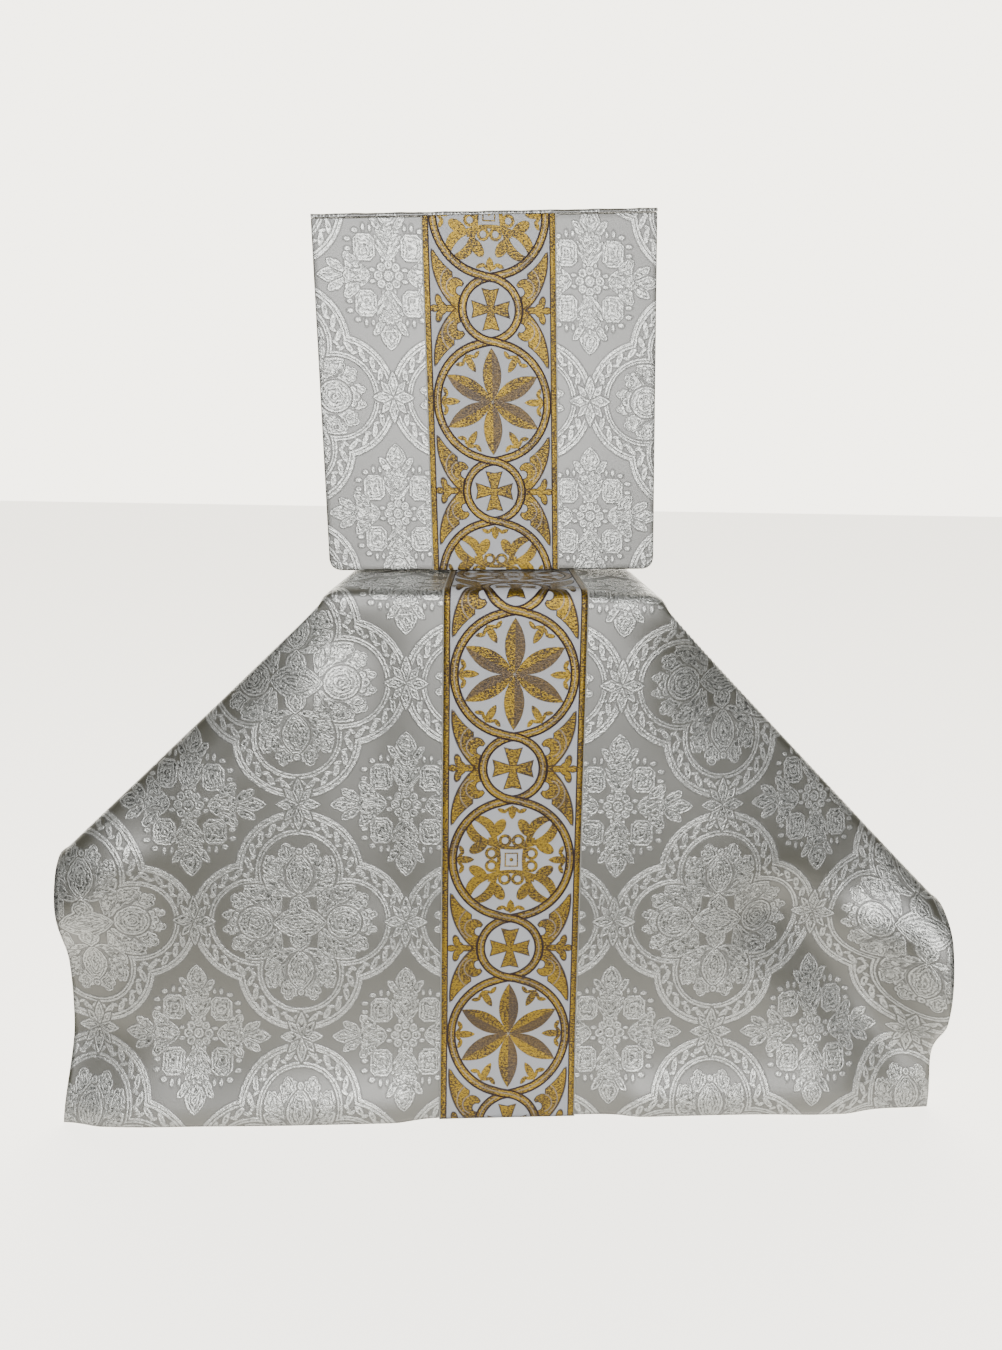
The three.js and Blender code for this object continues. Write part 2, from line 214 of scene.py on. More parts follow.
# A point of the veil's middle surface: u across from the band's centre, v back from the board's front edge
def veil_point(u, v):
    x = u + VEIL_OFFSET
    y = v - FLAT_Y
    anchor = Vector((min(FLAT_X, max(-FLAT_X, x)), min(FLAT_Y, max(-FLAT_Y, y)), TOP_HEIGHT))
    out_x = abs(x - anchor.x)
    out_y = abs(y - anchor.y)
    run = math.hypot(out_x, out_y)
    if run < 1e-6:
        return anchor
    side = -1 if x < anchor.x else 1
    front = y < 0
    flat = Vector((x - anchor.x, y - anchor.y, 0)).normalized()
    if out_y == 0:
        hang = Vector((side * math.sin(rad(SIDE_TILT)), 0, -math.cos(rad(SIDE_TILT))))
    elif front:
        ray = (left_corner if side < 0 else right_corner)(math.atan2(out_x, out_y))
        hang = Vector((side * ray.x if out_x else 0, ray.y, ray.z))
    elif out_x == 0:
        hang = Vector((0, math.sin(rad(BACK_TILT)), -math.cos(rad(BACK_TILT))))
    else:
        ray = back_corner(math.atan2(out_y, out_x))
        hang = Vector((-side * ray.y, ray.x, ray.z))
    turn = flat.angle(hang)
    across = (hang - flat * hang.dot(flat)).normalized()
    bend = FRONT_BEND + (SIDE_BEND - FRONT_BEND) * (out_x / run) ** 2
    bent = min(run / bend, turn)
    point = anchor + flat * (bend * math.sin(bent)) + across * (bend * (1 - math.cos(bent)))
    point += hang * (run - bent * bend)
    if out_y == 0:
        share = (y + FLAT_Y) / (2 * FLAT_Y)
        between = math.sin(math.pi * share) ** 2
        wave = math.sin(2 * math.pi * SIDE_WAVES * share)
        inward = SIDE_HOLLOW + SIDE_WAVE * wave
        point.x -= side * inward * between * smooth_step((out_x - SIDE_BEND) / REACH_LEFT)
    if front and out_y > 0:
        down = (TOP_HEIGHT - point.z) / math.cos(rad(FRONT_TILT))
        point.y -= smooth_step(out_y / 20) * front_relief(point.x - VEIL_OFFSET, down)
    return point


def veil_normal(u, v):
    step = 0.5
    along = veil_point(u + step, v) - veil_point(u - step, v)
    up = veil_point(u, v + step) - veil_point(u, v - step)
    return along.cross(up).normalized()


# Turning a bmesh into a finished piece
def finish_piece(name, shape, *materials, smooth=True):
    mesh = bpy.data.meshes.new(name)
    for face in shape.faces:
        face.smooth = smooth
    shape.to_mesh(mesh)
    shape.free()
    piece = bpy.data.objects.new(name, mesh)
    bpy.context.scene.collection.objects.link(piece)
    for material in materials:
        mesh.materials.append(material)
    return piece


def give_thickness(piece, thick, offset, lined):
    wall = piece.modifiers.new("wall", "SOLIDIFY")
    wall.thickness = thick * MM
    wall.offset = offset
    wall.use_even_offset = True
    wall.use_quality_normals = True
    wall.material_offset = 1 if lined else 0


def round_rim(piece, width, segments=3, angle=50):
    rim = piece.modifiers.new("rim", "BEVEL")
    rim.width = width * MM
    rim.segments = segments
    rim.limit_method = "ANGLE"
    rim.angle_limit = rad(angle)
    rim.harden_normals = False


# A grid of cloth, whose points keep their places on the uncut cloth and are moved into the drape
def cloth_grid(cells_across, cells_along, width, length, place, pattern):
    shape = bmesh.new()
    bmesh.ops.create_grid(shape, x_segments=cells_across, y_segments=cells_along, size=0.5)
    cut = shape.verts.layers.float_vector.new("cut")
    for vert in shape.verts:
        u = vert.co.x * width
        v = vert.co.y * length
        vert[cut] = Vector(pattern(u, v)) * MM
        vert.co = place(u, v) * MM
    return shape


def dress(piece, node):
    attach(piece, "root")
    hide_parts(node)
    return piece


# Shader arithmetic: a Number is one output of a node, and sums on it add nodes
class Number:
    tree = None

    def __init__(self, socket):
        self.socket = socket

    def __add__(self, other):
        return sum_node("ADD", self, other)

    __radd__ = __add__

    def __sub__(self, other):
        return sum_node("SUBTRACT", self, other)

    def __rsub__(self, other):
        return sum_node("SUBTRACT", other, self)

    def __mul__(self, other):
        return sum_node("MULTIPLY", self, other)

    def __truediv__(self, other):
        return sum_node("DIVIDE", self, other)

    def __neg__(self):
        return sum_node("MULTIPLY", self, -1)

    def __abs__(self):
        return sum_node("ABSOLUTE", self)


def wire(value, socket):
    if isinstance(value, Number):
        Number.tree.links.new(value.socket, socket)
    elif isinstance(value, (int, float)) and hasattr(socket.default_value, "__len__"):
        socket.default_value = [value] * len(socket.default_value)
    else:
        socket.default_value = value


def sum_node(operation, *values):
    node = Number.tree.nodes.new("ShaderNodeMath")
    node.operation = operation
    for value, socket in zip(values, node.inputs):
        wire(value, socket)
    return Number(node.outputs[0])


def least(first, *rest):
    for other in rest:
        first = sum_node("MINIMUM", first, other)
    return first


def most(first, *rest):
    for other in rest:
        first = sum_node("MAXIMUM", first, other)
    return first


def zigzag(value, scale):
    return sum_node("PINGPONG", value, scale)


def times_plus(value, factor, extra):
    return sum_node("MULTIPLY_ADD", value, factor, extra)


def sine(value):
    return sum_node("SINE", value)


# 1 inside a shape and 0 outside it, with a soft edge: shapes are distances, negative inside
def inside(distance, soft=0.3):
    node = Number.tree.nodes.new("ShaderNodeMapRange")
    node.interpolation_type = "SMOOTHSTEP"
    wire(distance, node.inputs["Value"])
    node.inputs["From Min"].default_value = soft
    node.inputs["From Max"].default_value = -soft
    return Number(node.outputs["Result"])


def ranged(value, low, high, to_low, to_high):
    node = Number.tree.nodes.new("ShaderNodeMapRange")
    wire(value, node.inputs["Value"])
    node.inputs["From Min"].default_value = low
    node.inputs["From Max"].default_value = high
    node.inputs["To Min"].default_value = to_low
    node.inputs["To Max"].default_value = to_high
    return Number(node.outputs["Result"])


def place_of(across, along):
    node = Number.tree.nodes.new("ShaderNodeCombineXYZ")
    wire(across, node.inputs[0])
    wire(along, node.inputs[1])
    return Number(node.outputs[0])


def vector_node(operation, first, second=None, third=None, output=0):
    node = Number.tree.nodes.new("ShaderNodeVectorMath")
    node.operation = operation
    for value, socket in zip((first, second, third), node.inputs):
        if value is not None:
            wire(value, socket)
    return Number(node.outputs[output])


def disc(place, x, y, radius):
    return vector_node("DISTANCE", place, (x, y, 0), output=1) - radius


def oval(place, x, y, half_x, half_y):
    scaled = vector_node("MULTIPLY_ADD", place, (1 / half_x, 1 / half_y, 0), (-x / half_x, -y / half_y, 0))
    return times_plus(vector_node("LENGTH", scaled, output=1), min(half_x, half_y), -min(half_x, half_y))


# A leaf between two ends: rounded where blunt is below 1, cut into lobes, and widest past its middle as a fan
def leaf(place, x1, y1, x2, y2, width, lobes=0, depth=0.35, blunt=1.0, fan=False):
    length = math.hypot(x2 - x1, y2 - y1)
    ax, ay = (x2 - x1) / length, (y2 - y1) / length
    share = vector_node("DOT_PRODUCT", place, (ax / length, ay / length, 0), output=1)
    share = share - (x1 * ax + y1 * ay) / length
    beside = vector_node("DOT_PRODUCT", place, (-ay, ax, 0), output=1)
    beside = abs(beside - (-ay * x1 + ax * y1))
    body = (1 - share) * share
    outside = body * (-4 * width)
    if fan:
        body = sum_node("POWER", most(share, 0), 1.6) * (1 - share) * 1.414
    if blunt < 1:
        body = sum_node("POWER", body * 4, blunt) * 0.25
    if lobes:
        swept = times_plus(beside, -1.5 / length, share)
        notch = abs(sine(swept * (math.pi * lobes)))
        body = body * times_plus(notch, depth, 1 - depth)
    edge = times_plus(body, -2 * width, beside)
    return most(edge, outside) if blunt < 1 else edge


# An oval turned so that its long half lies along an angle
def turned_oval(place, x, y, half_long, half_wide, angle):
    ax, ay = math.cos(rad(angle)), math.sin(rad(angle))
    along = vector_node("DOT_PRODUCT", place, (ax / half_long, ay / half_long, 0), output=1)
    beside = vector_node("DOT_PRODUCT", place, (-ay / half_wide, ax / half_wide, 0), output=1)
    shifted = place_of(along - (x * ax + y * ay) / half_long, beside - (-x * ay + y * ax) / half_wide)
    return times_plus(vector_node("LENGTH", shifted, output=1), half_wide, -half_wide)


# Shapes side by side: the nearest one, and the next nearest, so that a line can part them where they meet
class Cluster:
    def __init__(self, *shapes):
        self.nearest = shapes[0]
        self.next = None
        self.add(*shapes[1:])

    def add(self, *shapes):
        for shape in shapes:
            behind = most(self.nearest, shape)
            self.next = behind if self.next is None else least(self.next, behind)
            self.nearest = least(self.nearest, shape)
        return self

    def lay_over(self, shape, gap=0.9):
        self.nearest = most(self.nearest, gap - shape)
        self.nearest = least(self.nearest, shape)
        self.next = most(self.next, gap - shape)
        return self


def noise(place, scale, detail=2.0, rough=0.5, distortion=0.0):
    node = Number.tree.nodes.new("ShaderNodeTexNoise")
    wire(place, node.inputs["Vector"])
    node.inputs["Scale"].default_value = scale
    node.inputs["Detail"].default_value = detail
    node.inputs["Roughness"].default_value = rough
    node.inputs["Distortion"].default_value = distortion
    return Number(node.outputs[0])


def blend_colour(share, first, second):
    node = Number.tree.nodes.new("ShaderNodeMix")
    node.data_type = "RGBA"
    wire(share, node.inputs[0])
    for value, socket in ((first, node.inputs[6]), (second, node.inputs[7])):
        if isinstance(value, Number):
            wire(value, socket)
        else:
            socket.default_value = (*value, 1)
    return Number(node.outputs[2])


def stretched(place, x, y, z=1.0):
    return vector_node("MULTIPLY", place, (x, y, z))


def new_material(name, **constants):
    material = bpy.data.materials.new(name)
    material.use_nodes = True
    Number.tree = material.node_tree
    shader = material.node_tree.nodes["Principled BSDF"]
    for socket, value in constants.items():
        shader.inputs[socket.replace("_", " ")].default_value = value
    return material, shader


def cut_place():
    node = Number.tree.nodes.new("ShaderNodeAttribute")
    node.attribute_name = "cut"
    return vector_node("MULTIPLY", Number(node.outputs["Vector"]), (1000, 1000, 0))


def object_place():
    node = Number.tree.nodes.new("ShaderNodeTexCoord")
    return Number(node.outputs["Object"])


def split(place):
    node = Number.tree.nodes.new("ShaderNodeSeparateXYZ")
    wire(place, node.inputs[0])
    return Number(node.outputs[0]), Number(node.outputs[1]), Number(node.outputs[2])


def raise_surface(shader, height, distance, strength=1.0):
    node = Number.tree.nodes.new("ShaderNodeBump")
    node.inputs["Strength"].default_value = strength
    node.inputs["Distance"].default_value = distance
    wire(height, node.inputs["Height"])
    wire(Number(node.outputs[0]), shader.inputs["Normal"])


# The damask's repeat, drawn on a folded quarter: a medallion, two stars and a cross of leaves

# Leaves of the medallion's flowers: across and along at both ends, width and lobes
FLOWER_LEAVES = [
    (1.5, 20, 8.8, 53, 15.5, 4),
    (1, 19.5, 22, 44, 16, 5),
    (1, 19.5, 23.5, 31, 12, 4),
    (12, 5, 20.5, 24.5, 13.5, 3),
    (14, 3.5, 34, 26.5, 17, 4),
    (17, 2, 43.5, 17.5, 15, 4),
    (22, 2, 49.5, 5.2, 10, 4),
]


def medallion_flowers(place):
    flowers = Cluster(leaf(place, 0, 19, 18.5, 23.2, 7.5, 0, 0, 0.65))
    for row in FLOWER_LEAVES:
        flowers.add(leaf(place, *row, depth=0.32, blunt=0.68, fan=True))
    flowers.lay_over(least(leaf(place, 0, 18.3, 0, 46.5, 17), disc(place, 0, 33.6, 7.6)))
    flowers.lay_over(least(disc(place, 42.0, 0, 2.9), disc(place, 40.2, 4.6, 2.3)), 0.7)
    flowers.lay_over(oval(place, 28.0, 0, 11.1, 10.6))
    flowers.lay_over(disc(place, 0, 47.5, 2.2), 0.6)
    hexagon = leaf(place, -17, 0, 17, 0, 21, 0, 0, 0.85)
    flowers.lay_over(least(hexagon, disc(place, 0, 11.2, 6.6), leaf(place, 0, 3, 0, 19.5, 11)))
    return flowers


# Petals of a star: half their reach across and along, and width
STAR_PETALS = [(14, 0, 9.5), (0, 17, 8.5), (8.5, 10.5, 7), (8.5, -10.5, 7)]


def star_flower(place, x, y):
    petals = [leaf(place, x - dx, y - dy, x + dx, y + dy, width, blunt=0.8) for dx, dy, width in STAR_PETALS]
    return Cluster(*petals)


# The leaf cross: discs as across, along and radius, ovals with two half widths, leaves as leaf() takes them
CROSS_DISCS = [(0, 0, 3.4), (6.9, 0, 3.0), (4.9, 5.1, 2.8), (0, 6.9, 2.8)]
CROSS_BERRIES = [
    (10.8, 3.6, 2.0, 1.2),
    (3.8, 10.2, 1.1, 1.7),
    (11.5, 29.6, 1.1, 2),
    (16, 29.8, 1.2, 2.2),
    (21.5, 28, 2, 1.5),
    (26.6, 22.5, 2.1, 1.4),
    (26.6, 16.5, 2.1, 1.4),
]
CROSS_LEAVES = [
    (0, 8.8, 0, 36, 18.5, 5, 0.3, 0.75),
    (0, 25, 0, 47.5, 14, 0, 0, 0.85),
    (1, 27, 11.8, 38, 7, 2, 0.25, 0.8),
    (12, 0, 32, 0, 17, 3, 0.3, 0.75),
    (18, 0, 29.5, 14.5, 10, 2, 0.25, 0.65),
    (28, 0, 41, 10, 8, 2, 0.2, 0.75),
    (27, 0, 48, 0, 10, 0, 0, 0.85),
]

# The tulip between the cross's arms: its middle, half sizes and cut corners
TULIP_ACROSS, TULIP_ALONG = 15.8, 17.6
TULIP_HALF_ACROSS, TULIP_HALF_ALONG, TULIP_CUT = 7.3, 8.5, 12.4


def leaf_cross(place):
    shapes = Cluster(*(disc(place, *row) for row in CROSS_DISCS))
    shapes.add(*(oval(place, *row) for row in CROSS_BERRIES))
    shapes.add(*(leaf(place, *row) for row in CROSS_LEAVES))
    across, along, _ = split(place)
    away_across = abs(across - TULIP_ACROSS)
    away_along = abs(along - TULIP_ALONG)
    tulip = most(away_across - TULIP_HALF_ACROSS, away_along - TULIP_HALF_ALONG)
    return shapes.add(most(tulip, (away_across + away_along) - TULIP_CUT))


def damask_material():
    material, shader = new_material(
        "damask", Specular_IOR_Level=1.0, Coat_Weight=0.15, Coat_IOR=1.5, Coat_Roughness=0.25,
    )
    cut = cut_place()
    wander = noise(cut, 0.3, 2.0)
    crinkle = noise(stretched(cut, 1.0, 1.4), 0.42, 3.0, 0.65, 0.8)
    across, along, _ = split(cut)
    folded_across = zigzag(across, REPEAT_ACROSS / 2)
    folded_along = zigzag(along - DAMASK_ROW, REPEAT_ALONG / 2)
    place = place_of(folded_across, folded_along)

    # The border: a cord of two strands on each side of a garland of small slanting leaves
    side = disc(place, SIDE_LOBE, 0, SIDE_LOBE_RADIUS) / 15
    top = disc(place, 0, TOP_LOBE, TOP_LOBE_RADIUS) / 16
    inner = least(side, top, disc(place, 0, 0, 22) / 15) * BORDER_WIDTH
    by_side = sum_node("LESS_THAN", side, top)
    arc_side = sum_node("ARCTAN2", folded_along, folded_across - SIDE_LOBE) * 34
    arc_top = sum_node("ARCTAN2", folded_along - TOP_LOBE, folded_across) * 32.5
    run = arc_top + (arc_side - arc_top) * by_side + 300
    off_middle = inner - GARLAND_MIDDLE
    half_step = GARLAND_STEP / 2
    step_along = sum_node("MODULO", run, GARLAND_STEP) - half_step
    other_step = sum_node("MODULO", run + half_step, GARLAND_STEP) - half_step
    garland = least(
        turned_oval(place_of(step_along, off_middle), 0, 0.6, 4.6, 1.9, 32),
        turned_oval(place_of(other_step, off_middle), 0, -1.6, 2.6, 1.2, -38),
    )
    cords = least(abs(inner - 0.75) - 0.66, abs(inner - 2.55) - 0.8)
    cords = least(cords, abs(inner - 11.6) - 0.85, abs(inner - 13.9) - 1.15)
    frame_shape = least(cords, garland)

    flowers = medallion_flowers(place)
    flowers.nearest = most(flowers.nearest, inner + 0.9)
    star = star_flower(place, REPEAT_ACROSS / 2, 0)
    star_along = star_flower(place, 0, REPEAT_ALONG / 2)
    star.nearest = least(star.nearest, star_along.nearest)
    star.next = least(star.next, star_along.next)
    far_place = place_of(REPEAT_ACROSS / 2 - folded_across, REPEAT_ALONG / 2 - folded_along)
    cross = leaf_cross(far_place)
    cross.nearest = most(cross.nearest, 16.4 - inner)
    border = most(frame_shape, 1.0 - star.nearest)
    figure = least(flowers.nearest, border, star.nearest, cross.nearest)
    parting = least(flowers.next, star.next, cross.next) - figure
    figure_share = inside(figure, 0.4)
    parted = inside(parting - 0.7, 0.5) * inside(figure + 0.3, 0.4) * 0.75
    # Painted highlight: a bright band just inside each figure's outline, for light on its raised edge
    rim = inside(abs(figure + 0.75) - 0.3, 0.5)
    # Painted shade: a dark band just outside each figure's outline, for shade beside its raised edge
    painted_groove_shade = inside(abs(figure - 0.45) - 0.3, 0.5)

    # Strands that follow the figures' outlines, crossed by a fine crinkle
    strands = sine(times_plus(least(0 - figure, parting * 0.5), 2.9, wander * 14 - 7))
    body = figure_share * (1 - parted)
    rough_silver = ranged(crinkle, 0.34, 0.66, -1.0, 1.0)
    ground_weave = noise(stretched(cut, 2.6, 0.9), 1.0, 2.0, 0.6)
    relief = times_plus(strands, 0.55, rough_silver * 0.55)
    height = ground_weave * 0.03 + body * (0.6 + relief * 0.5)
    raise_surface(shader, height, 0.2 * MM)

    # Silver figures on a darker ground, with painted highlight as a bright rim inside each outline and
    # painted shade as a dark line outside it and between touching figures
    ground = blend_colour(ground_weave, (0.009, 0.0086, 0.005), (0.022, 0.021, 0.0125))
    # The silver's own tone, made near black in the threads' hollows and light on their crests: painted shade
    # and painted highlight of the raised threads
    silver_with_painted_light = blend_colour(ranged(relief, -0.8, 0.5, 0, 1), (0.020, 0.0203, 0.0186), (0.225, 0.229, 0.219))
    silver_with_painted_light = blend_colour(rim * 0.8, silver_with_painted_light, (0.27, 0.274, 0.264))
    painted_outline_shade = least(painted_groove_shade + parted, 1)
    colour = blend_colour(body, ground, silver_with_painted_light)
    # Painted shade: outlines and the partings between touching figures are darkened
    colour = blend_colour(painted_outline_shade * 0.7, colour, (0.008, 0.0078, 0.006))
    wire(colour, shader.inputs["Base Color"])
    rough = times_plus(body, -0.16, 0.45) + painted_outline_shade * 0.2
    wire(body * 0.6, shader.inputs["Metallic"])
    wire(times_plus(relief * body, -0.08, rough), shader.inputs["Roughness"])
    return material


# The galloon: linked rings, big ones round a rosette or four lilies, small ones round a cross
def sprig(place, x, y, inward):
    reach = math.hypot(x, y)
    ux, uy = -x / reach, -y / reach
    px, py = -uy, ux
    shapes = [leaf(place, x, y, x + ux * inward, y + uy * inward, 5.0, blunt=0.8)]
    for sign in (1, -1):
        bend_x = x + ux * 5.2 + px * sign * 4.6
        bend_y = y + uy * 5.2 + py * sign * 4.6
        tip_x = x + ux * 2.6 + px * sign * 9.4
        tip_y = y + uy * 2.6 + py * sign * 9.4
        side_x, side_y = px * sign, py * sign
        shapes.append(leaf(place, x + ux, y + uy, bend_x + side_x, bend_y + side_y, 2.4, blunt=0.6))
        shapes.append(leaf(place, bend_x - side_x, bend_y - side_y, tip_x, tip_y, 3.0, blunt=0.7))
    return least(*shapes)


# One pair of a small cross's arms, which widen towards hollow ends
def cross_arm(beside, along, reach):
    flare = times_plus(along, -0.31, beside) - 1.5
    end = times_plus(beside, -0.22, along) - reach
    return most(flare, end)


def ribbon_over(colour, off, dark, gold, pale):
    away = abs(off)
    colour = blend_colour(inside(away - RIBBON_DARK, 0.2), colour, dark)
    colour = blend_colour(inside(away - RIBBON_GOLD, 0.25), colour, gold)
    return blend_colour(inside(away - RIBBON_PALE, 0.3) * 0.85, colour, pale)


def galloon_material():
    material, shader = new_material("galloon", Specular_IOR_Level=0.15)
    cut = cut_place()
    across, along, _ = split(cut)
    run = along - GALLOON_ROSETTE
    folded_across = abs(across)
    folded_along = zigzag(run, GALLOON_PITCH)
    place = place_of(folded_across, folded_along)
    rosette_turn = sum_node("LESS_THAN", zigzag(run, 2 * GALLOON_PITCH), GALLOON_PITCH)

    # Each crossing of two rings: the strand on top changes from one ring to the other
    ring_place = stretched(place, 1, RING_SQUASH)
    off_big = disc(ring_place, 0, 0, BIG_RING)
    off_small = disc(ring_place, 0, RING_SQUASH * GALLOON_PITCH, SMALL_RING)
    falling = 0 - sum_node("SIGN", sine(run * (math.pi / GALLOON_PITCH)))
    change = inside(0 - across * falling, 9)
    strand_over = off_big - (off_big + off_small) * change
    strand_under = (off_big + off_small) * change - off_small
    in_big = off_big + INSIDE_RIBBON
    in_small = off_small + INSIDE_RIBBON

    petal_up = leaf(place, 0, 0.3, 0, 35.5, 12.8)
    petal_side = leaf(place, 0.2, 0.1, 31, 17.3, 12.8)
    rosette = least(petal_up, petal_side, sprig(place, 35.8, 0, 13.8), sprig(place, 17.9, 31, 13.4))

    slit = leaf(place, 12.5, 12.5, 26.5, 27, 5.2)
    lily = least(
        turned_oval(place, 8.3, 21.3, 6.6, 3.7, 122),
        turned_oval(place, 21.3, 8.3, 6.6, 3.7, -32),
        turned_oval(place, 16.8, 25.2, 6.4, 2.9, 30),
        turned_oval(place, 25.2, 16.8, 6.4, 2.9, 60),
        most(leaf(place, 10, 10, 27.5, 28, 17, blunt=0.9), -slit),
    )
    scrolls = least(abs(disc(place, 4.2, 12.8, 3.2)) - 1.1, abs(disc(place, 12.8, 4.2, 3.2)) - 1.1)
    bars = least(
        leaf(place, -6, 7.3, 15, 9.5, 3.0),
        leaf(place, 7.3, -6, 9.5, 15, 3.0),
        leaf(place, 7, 7, 15, 15, 5),
    )
    knot = most(folded_across - 3.9, folded_along - 4.3)
    lily = least(lily, scrolls, bars, abs(knot) - 0.45, disc(place, 0, 0, 1.3))
    lily = least(lily, sprig(place, 35.8, 0, 12), sprig(place, 0, 36.4, 9.5))
    figure = lily + (rosette - lily) * rosette_turn
    figure = most(figure, in_big)

    from_cross = abs(folded_along - GALLOON_PITCH)
    cross = least(
        cross_arm(folded_across, from_cross, 12.2),
        cross_arm(from_cross, folded_across, 11.6),
    )

    # Outside the rings: a frond of three lobes, edged by arcs, and a lily that points at the border
    outer_arc = disc(place, -5, 27, 43.9)
    long_vein = disc(place, 22, 43.5, 11.2)
    short_vein = disc(place, 23.5, 46.3, 6.0)
    curl = least(25.2 - folded_across, short_vein, 51 - folded_along)
    frond = most(outer_arc, 6.3 - off_big, BESIDE_RIBBON - off_small, curl, 0 - disc(place, 20.2, 48.6, 3.0))
    frond = most(frond, 23.6 - folded_along, least(4.6 - off_small, 51 - folded_along))
    veins = least(
        most(abs(long_vein) - 0.45, 27.5 - folded_across),
        most(abs(short_vein) - 0.45, 24.8 - folded_across),
    )
    lily_out = least(
        leaf(place, 34.5, GALLOON_PITCH, 41.5, GALLOON_PITCH, 4.4, blunt=0.8),
        leaf(place, 18, GALLOON_PITCH, 39.5, GALLOON_PITCH, 4.2),
        turned_oval(place, 34.9, 55.0, 3.7, 2.1, 105),
        leaf(place, 29.5, 60, 37, 55.5, 4.2, blunt=0.8),
    )
    lily_out = most(lily_out, BESIDE_RIBBON - off_small)
    vein = inside(most(veins, frond), 0.25)
    gold_shape = least(figure, most(cross, in_small), frond, lily_out)

    threads = sine(times_plus(sine(across * 4.4), 0.8, along * 7.5))
    twill = sine((across - along) * 6.3)
    glint = noise(stretched(cut, 0.7, 1.15), 0.9, 3.0, 0.75)
    patch = noise(stretched(cut, 0.045, 0.045), 1.0, 2.0, 0.5)
    sparkle = inside(0.495 - glint - (patch - 0.5) * 0.3, 0.02)

    white = blend_colour(ranged(twill, -1, 1, 0, 1), (0.165, 0.168, 0.178), (0.25, 0.256, 0.268))
    dark = (0.009, 0.004, 0.004)
    pale = (0.10, 0.08, 0.06)
    glow = ranged(glint, 0.38, 0.62, 0, 1)
    gold = blend_colour(glow, (0.013, 0.0078, 0.0036), (0.038, 0.024, 0.010))
    gold = blend_colour(sparkle * 0.85, gold, (0.15, 0.096, 0.011))
    brown = blend_colour(glow, (0.018, 0.012, 0.0085), (0.048, 0.035, 0.025))
    beside = vector_node("DOT_PRODUCT", place, (-0.488, 0.873, 0), output=1)
    is_up = sum_node("LESS_THAN", petal_up, petal_side)
    dull_half = inside(beside, 0.6) * (1 - is_up) + inside(0 - across, 0.6) * is_up
    in_petals = inside(least(petal_up, petal_side), 0.3) * rosette_turn
    figures_gold = blend_colour(dull_half * in_petals * 0.85, gold, brown)

    in_figures = inside(gold_shape, 0.25)
    colour = blend_colour(in_figures, white, figures_gold)
    edges = least(abs(frond), abs(cross), abs(lily_out)) - 0.35
    edges = least(edges, most(abs(outer_arc) - 0.6, frond - 1))
    colour = blend_colour(inside(edges, 0.25) * 0.85, colour, dark)
    colour = blend_colour(vein * 0.85, colour, pale)
    colour = ribbon_over(colour, strand_under, dark, gold, pale)
    colour = ribbon_over(colour, strand_over, dark, gold, pale)
    colour = blend_colour(inside(EDGE_LINE - folded_across, 0.2), colour, dark)
    colour = blend_colour(inside(GOLD_EDGE - folded_across, 0.2), colour, gold)
    colour = blend_colour(inside(SELVAGE - folded_across, 0.2), colour, (0.19, 0.184, 0.165))
    wire(colour, shader.inputs["Base Color"])

    in_ribbon = inside(least(abs(strand_over), abs(strand_under)) - 2.2, 0.3)
    in_border = inside(most(GOLD_EDGE - folded_across, folded_across - SELVAGE), 0.2)
    is_gold = most(in_figures, in_ribbon, in_border)
    height = twill * 0.12 + is_gold * times_plus(threads, 0.16, glint * 1.2 + 0.3)
    raise_surface(shader, height, 0.2 * MM, 0.8)
    wire(is_gold * times_plus(sparkle, 0.7, 0.2), shader.inputs["Metallic"])
    wire(times_plus(is_gold, -0.24, 0.6), shader.inputs["Roughness"])
    return material


def lining_material():
    material, shader = new_material("lining", Sheen_Weight=0.2, Sheen_Roughness=0.4, Specular_IOR_Level=0.5)
    across, along, _ = split(cut_place())
    satin = noise(place_of(across * 0.4, along * 3.2), 1.2, 3.0, 0.6)
    weave = sine(across * 7.0) * sine(along * 7.0)
    raise_surface(shader, times_plus(weave, 0.2, satin), 0.2 * MM, 0.5)
    colour = blend_colour(satin, (0.60, 0.59, 0.55), (0.74, 0.73, 0.69))
    wire(colour, shader.inputs["Base Color"])
    wire(ranged(satin, 0.3, 0.7, 0.38, 0.5), shader.inputs["Roughness"])
    return material


def plywood_material():
    material, shader = new_material("plywood", Roughness=0.6, Specular_IOR_Level=0.35)
    place = object_place()
    x, y, z = split(place)
    grain = noise(stretched(place, 9, 240, 60), 1.0, 4.0, 0.6, 0.4)
    rings = abs(sine(times_plus(noise(stretched(place, 4, 26, 10), 1.0, 2.0), 9.0, y * 60)))
    layers = inside(abs(zigzag(z, MM) - 0.5 * MM) - 0.22 * MM, 0.08 * MM)
    across_edge = most(abs(x), abs(y)) - (BOARD_SIDE / 2 - 0.4) * MM
    edge = inside(0 - across_edge, 0.2 * MM)
    colour = blend_colour(times_plus(grain, 0.7, rings * 0.2), (0.42, 0.28, 0.15), (0.70, 0.53, 0.33))
    colour = blend_colour(edge * layers, colour, (0.26, 0.16, 0.085))
    wire(colour, shader.inputs["Base Color"])
    raise_surface(shader, grain, 0.3 * MM, 0.5)
    return material


